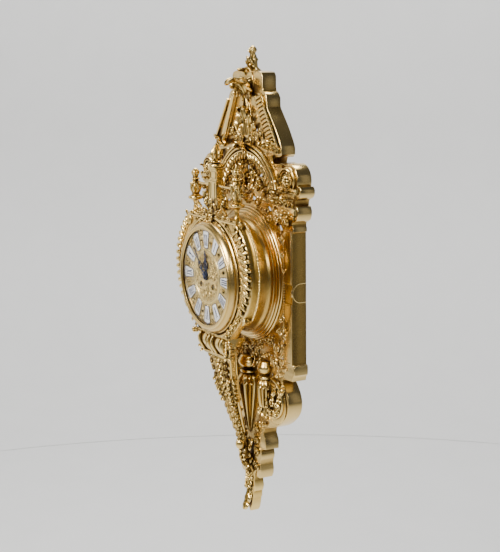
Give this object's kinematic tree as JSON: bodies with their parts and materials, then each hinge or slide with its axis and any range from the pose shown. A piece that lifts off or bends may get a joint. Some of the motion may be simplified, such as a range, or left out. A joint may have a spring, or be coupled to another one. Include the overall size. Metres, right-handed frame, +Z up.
{
  "type": "cartel clock",
  "caption": "Tall gilt wall clock with a gabled hollow back frame, a projecting round drum with a glazed dial, hands, a striking wheel movement and a hidden pendulum.",
  "frame": {"origin": "centre of the hanging hole, in the wall plane at the back of the hanger plate", "axes": "+Y towards the wall along the hanging hole, +Z up, +X to the right of someone facing the dial"},
  "size_m": [0.33, 0.1235, 0.802],
  "materials": {
    "gilt_bronze": "fire gilt, burnished high points",
    "gilt_smooth": "satin gilt",
    "gilt_dial": "matted and chased gilt",
    "white_enamel": "glossy vitreous enamel, dark blue numerals",
    "glass": "clear, domed",
    "blued_steel": "blued, pierced",
    "movement_brass": "polished",
    "steel": "polished",
    "bell_metal": "turned, lightly polished"
  },
  "bodies": {
    "case": {"back_frame": "gilt_bronze", "gable_rake_left": "gilt_bronze", "gable_rake_right": "gilt_bronze", "tympanum_crest": "gilt_bronze", "apex_finial": "gilt_bronze", "arch_surround": "gilt_bronze", "shoulder_left": "gilt_bronze", "shoulder_right": "gilt_bronze", "base_scrolls": "gilt_bronze", "reeded_terms": "gilt_bronze", "lower_pendant": "gilt_bronze", "drum": "gilt_smooth", "front_mask": "gilt_bronze", "centre_pinnacle": "gilt_bronze", "turret_left": "gilt_bronze", "turret_right": "gilt_bronze", "console": "gilt_bronze", "lower_drop": "gilt_bronze", "hanger_plate": "movement_brass", "case_screws": "steel", "dial_plate": "gilt_dial", "numeral_plaques": "white_enamel", "dial_ring": "gilt_smooth", "front_plate": "movement_brass", "back_plate": "movement_brass", "plate_pillars": "movement_brass", "movement_straps": "movement_brass", "back_cock": "movement_brass", "bell": "bell_metal", "bell_stand": "steel", "bezel_hinge_pin": "gilt_smooth"},
    "bezel": {"bezel_ring": "gilt_smooth", "glass": "glass"},
    "minute_hand": {"minute_hand": "blued_steel", "cannon_pinion": "steel", "centre_wheel": "movement_brass"},
    "hour_hand": {"hour_hand": "blued_steel", "hour_wheel": "movement_brass"},
    "minute_wheel": {"minute_wheel": "movement_brass"},
    "going_barrel": {"going_barrel": "movement_brass", "mainspring_going": "steel"},
    "strike_barrel": {"strike_barrel": "movement_brass", "mainspring_strike": "steel"},
    "winding_going": {"winding_arbor_going": "steel"},
    "winding_strike": {"winding_arbor_strike": "steel"},
    "click_going": {"click_going": "steel"},
    "click_strike": {"click_strike": "steel"},
    "second_wheel": {"second_wheel": "movement_brass"},
    "third_wheel": {"third_wheel": "movement_brass"},
    "escape_wheel": {"escape_wheel": "movement_brass"},
    "anchor": {"anchor": "steel"},
    "pendulum": {"pendulum_rod": "steel", "pendulum_bob": "movement_brass"},
    "count_wheel": {"strike_second_wheel": "movement_brass", "count_wheel": "movement_brass"},
    "pin_wheel": {"pin_wheel": "movement_brass"},
    "warning_wheel": {"warning_wheel": "movement_brass"},
    "fly": {"fly": "movement_brass"},
    "hammer": {"hammer": "steel"},
    "lifting_lever": {"lifting_lever": "steel"}
  },
  "joints": [
    {"name": "bezel_open", "type": "hinge", "parent": "case", "child": "bezel", "pos_m": [-0.0972, -0.099, -0.3], "axis": [0, 0, -1], "range_deg": [0, 90]},
    {"name": "minute_turn", "type": "hinge", "parent": "case", "child": "minute_hand", "pos_m": [0, -0.08, -0.3], "axis": [0, 1, 0], "continuous": true},
    {"name": "hour_turn", "type": "hinge", "parent": "case", "child": "hour_hand", "pos_m": [0, -0.08, -0.3], "axis": [0, 1, 0], "continuous": true},
    {"name": "minute_wheel_turn", "type": "hinge", "parent": "case", "child": "minute_wheel", "pos_m": [0, -0.08, -0.288], "axis": [0, 1, 0], "continuous": true},
    {"name": "going_barrel_turn", "type": "hinge", "parent": "case", "child": "going_barrel", "pos_m": [0.0205, -0.08, -0.314], "axis": [0, 1, 0], "continuous": true},
    {"name": "strike_barrel_turn", "type": "hinge", "parent": "case", "child": "strike_barrel", "pos_m": [-0.0205, -0.08, -0.314], "axis": [0, 1, 0], "continuous": true},
    {"name": "wind_going", "type": "hinge", "parent": "case", "child": "winding_going", "pos_m": [0.0205, -0.08, -0.314], "axis": [0, 1, 0], "continuous": true},
    {"name": "wind_strike", "type": "hinge", "parent": "case", "child": "winding_strike", "pos_m": [-0.0205, -0.08, -0.314], "axis": [0, 1, 0], "continuous": true},
    {"name": "click_going_lift", "type": "hinge", "parent": "case", "child": "click_going", "pos_m": [0.02578, -0.08, -0.30267], "axis": [0, 1, 0], "range_deg": [0, 12]},
    {"name": "click_strike_lift", "type": "hinge", "parent": "case", "child": "click_strike", "pos_m": [-0.02578, -0.08, -0.30267], "axis": [0, 1, 0], "range_deg": [-12, 0]},
    {"name": "second_wheel_turn", "type": "hinge", "parent": "case", "child": "second_wheel", "pos_m": [0.01589, -0.08, -0.29235], "axis": [0, 1, 0], "continuous": true},
    {"name": "third_wheel_turn", "type": "hinge", "parent": "case", "child": "third_wheel", "pos_m": [-0.00143, -0.08, -0.28368], "axis": [0, 1, 0], "continuous": true},
    {"name": "escape_turn", "type": "hinge", "parent": "case", "child": "escape_wheel", "pos_m": [0, -0.08, -0.26947], "axis": [0, 1, 0], "continuous": true},
    {"name": "anchor_swing", "type": "hinge", "parent": "case", "child": "anchor", "pos_m": [0, -0.08, -0.25677], "axis": [0, 1, 0], "range_deg": [-4, 4]},
    {"name": "pendulum_swing", "type": "hinge", "parent": "case", "child": "pendulum", "pos_m": [0, -0.0125, -0.27], "axis": [0, 1, 0], "range_deg": [-3, 3]},
    {"name": "count_wheel_turn", "type": "hinge", "parent": "case", "child": "count_wheel", "pos_m": [-0.01589, -0.08, -0.29235], "axis": [0, 1, 0], "continuous": true},
    {"name": "pin_wheel_turn", "type": "hinge", "parent": "case", "child": "pin_wheel", "pos_m": [-0.02326, -0.08, -0.27725], "axis": [0, 1, 0], "continuous": true},
    {"name": "warning_turn", "type": "hinge", "parent": "case", "child": "warning_wheel", "pos_m": [-0.01519, -0.08, -0.26945], "axis": [0, 1, 0], "continuous": true},
    {"name": "fly_turn", "type": "hinge", "parent": "case", "child": "fly", "pos_m": [-0.0086, -0.08, -0.26331], "axis": [0, 1, 0], "continuous": true},
    {"name": "hammer_lift", "type": "hinge", "parent": "case", "child": "hammer", "pos_m": [-0.0385, -0.08, -0.2805], "axis": [0, 1, 0], "range_deg": [0, 10]},
    {"name": "lever_lift", "type": "hinge", "parent": "case", "child": "lifting_lever", "pos_m": [-0.015, -0.08, -0.288], "axis": [0, 1, 0], "range_deg": [0, 6]}
  ],
  "couplings": [
    {"joint": "hour_turn", "follows": "minute_turn", "ratio": 0.083333},
    {"joint": "minute_wheel_turn", "follows": "minute_turn", "ratio": -0.33333},
    {"joint": "second_wheel_turn", "follows": "minute_turn", "ratio": -0.16667},
    {"joint": "going_barrel_turn", "follows": "minute_turn", "ratio": 0.020833},
    {"joint": "third_wheel_turn", "follows": "minute_turn", "ratio": -12},
    {"joint": "escape_turn", "follows": "minute_turn", "ratio": 132},
    {"joint": "pin_wheel_turn", "follows": "warning_turn", "ratio": -0.1},
    {"joint": "count_wheel_turn", "follows": "warning_turn", "ratio": 0.011111},
    {"joint": "strike_barrel_turn", "follows": "warning_turn", "ratio": -0.0013889},
    {"joint": "fly_turn", "follows": "warning_turn", "ratio": -9},
    {"joint": "anchor_swing", "follows": "pendulum_swing", "ratio": 0.75045}
  ]
}
